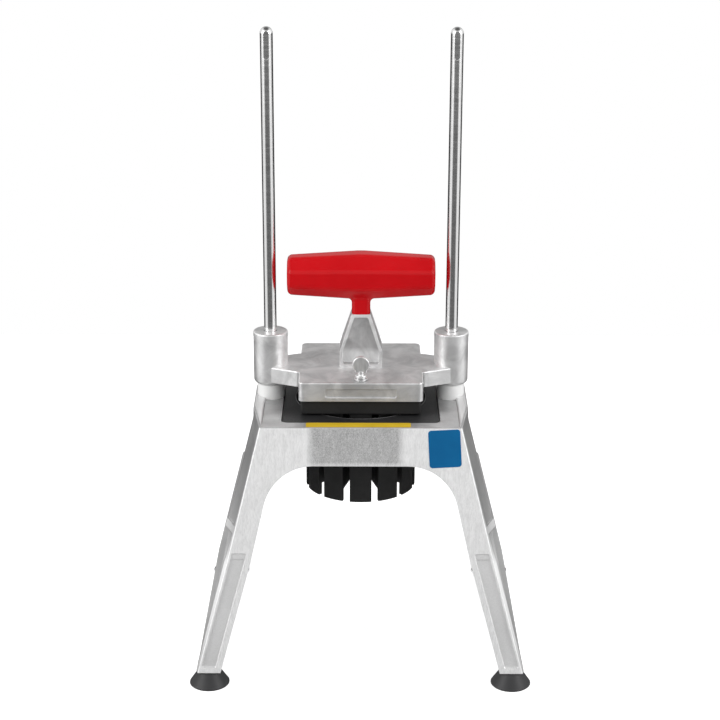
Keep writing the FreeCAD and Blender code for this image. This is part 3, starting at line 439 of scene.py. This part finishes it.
def studio_world():
    """White to the camera; reflections are bright at the sides, and greyer below and behind."""
    world = bpy.data.worlds.new("studio_world")
    bpy.context.scene.world = world
    world.use_nodes = True
    tree = world.node_tree
    tree.nodes.clear()

    def number(kind, operation, *values):
        node = tree.nodes.new(kind)
        if operation:
            node.operation = operation
        for index, value in enumerate(values):
            if hasattr(value, "is_linked"):
                tree.links.new(value, node.inputs[index])
            else:
                node.inputs[index].default_value = value
        return node.outputs[0]

    def ramp(value, low, high, at_low, at_high):
        return number("ShaderNodeMapRange", None, value, low, high, at_low, at_high)

    def blend(fac, a, b):
        difference = number("ShaderNodeMath", "SUBTRACT", b, a)
        return number("ShaderNodeMath", "MULTIPLY_ADD", difference, fac, a)

    coords = tree.nodes.new("ShaderNodeTexCoord")
    split = tree.nodes.new("ShaderNodeSeparateXYZ")
    tree.links.new(coords.outputs["Generated"], split.inputs[0])
    x, y, z = split.outputs
    across = number("ShaderNodeMath", "ABSOLUTE", x)
    above = ramp(z, -0.10, 0.02, 0.0, 1.0)
    low = blend(ramp(across, 0.60, 0.80, 0.0, 1.0), 0.14, 1.0)
    low = blend(ramp(y, 0.08, 0.30, 0.0, 1.0), low, 0.03)
    high = blend(ramp(y, -0.15, 0.25, 0.0, 1.0), 1.0, 0.42)
    high = blend(ramp(across, 0.30, 0.62, 0.0, 1.0), high, 1.0)
    tone = blend(above, low, high)
    tone = blend(ramp(z, 0.72, 0.90, 0.0, 1.0), tone, 0.12)
    tone = blend(ramp(z, -0.90, -0.75, 1.0, 0.0), tone, 0.90)

    reflected = tree.nodes.new("ShaderNodeBackground")
    tree.links.new(number("ShaderNodeCombineColor", None, tone, tone, tone), reflected.inputs["Color"])
    lighting = tree.nodes.new("ShaderNodeBackground")
    lighting.inputs["Color"].default_value = grey(1.0)
    lighting.inputs["Strength"].default_value = WORLD_LIGHT
    seen = tree.nodes.new("ShaderNodeBackground")
    seen.inputs["Color"].default_value = grey(1.0)
    seen.inputs["Strength"].default_value = 1.0
    path = tree.nodes.new("ShaderNodeLightPath")
    either = number("ShaderNodeMath", "MAXIMUM", path.outputs["Is Camera Ray"],
                    path.outputs["Is Transmission Ray"])
    gloss = tree.nodes.new("ShaderNodeMixShader")
    tree.links.new(path.outputs["Is Glossy Ray"], gloss.inputs[0])
    tree.links.new(lighting.outputs[0], gloss.inputs[1])
    tree.links.new(reflected.outputs[0], gloss.inputs[2])
    final = tree.nodes.new("ShaderNodeMixShader")
    tree.links.new(either, final.inputs[0])
    tree.links.new(gloss.outputs[0], final.inputs[1])
    tree.links.new(seen.outputs[0], final.inputs[2])
    out = tree.nodes.new("ShaderNodeOutputWorld")
    tree.links.new(final.outputs[0], out.inputs["Surface"])


def softbox(name, place, target, size, power):
    lamp = bpy.data.lights.new(name, "AREA")
    lamp.shape = "RECTANGLE"
    lamp.size = size[0]
    lamp.size_y = size[1]
    lamp.energy = power
    holder = bpy.data.objects.new(name, lamp)
    bpy.context.scene.collection.objects.link(holder)
    holder.location = place
    holder.rotation_euler = (Vector(target) - Vector(place)).to_track_quat("-Z", "Y").to_euler()
    return holder


def studio_lights():
    softbox("softbox_left", (-1.3, -0.7, 0.9), (0, 0, 0.22), (0.8, 1.2), 11.0)
    softbox("softbox_right", (1.3, -0.7, 0.9), (0, 0, 0.22), (0.8, 1.2), 10.0)
    overhead = softbox("softbox_top", (0, 0.2, 1.9), (0, 0, 0.2), (1.4, 1.4), 7.0)
    overhead.visible_glossy = False


def photo_camera():
    """Camera of the photograph: long lens, slightly above, turned a little."""
    place = Vector((-0.0007, -1.3071, 0.6756))
    aim = Vector((-0.0007, 0.0, 0.2268))
    data = bpy.data.cameras.new("photo_camera")
    data.sensor_width = 36.0
    data.lens = 89.0
    data.clip_start = 0.05
    data.clip_end = 50.0
    camera = bpy.data.objects.new("photo_camera", data)
    bpy.context.scene.collection.objects.link(camera)
    turn = (aim - place).to_track_quat("-Z", "Y").to_matrix().to_4x4()
    roll = Matrix.Rotation(math.radians(0.15), 4, "Z")
    camera.matrix_world = Matrix.Translation(place) @ turn @ roll
    bpy.context.scene.camera = camera


studio_floor()
studio_world()
studio_lights()
photo_camera()
bpy.context.scene.view_settings.view_transform = "Standard"
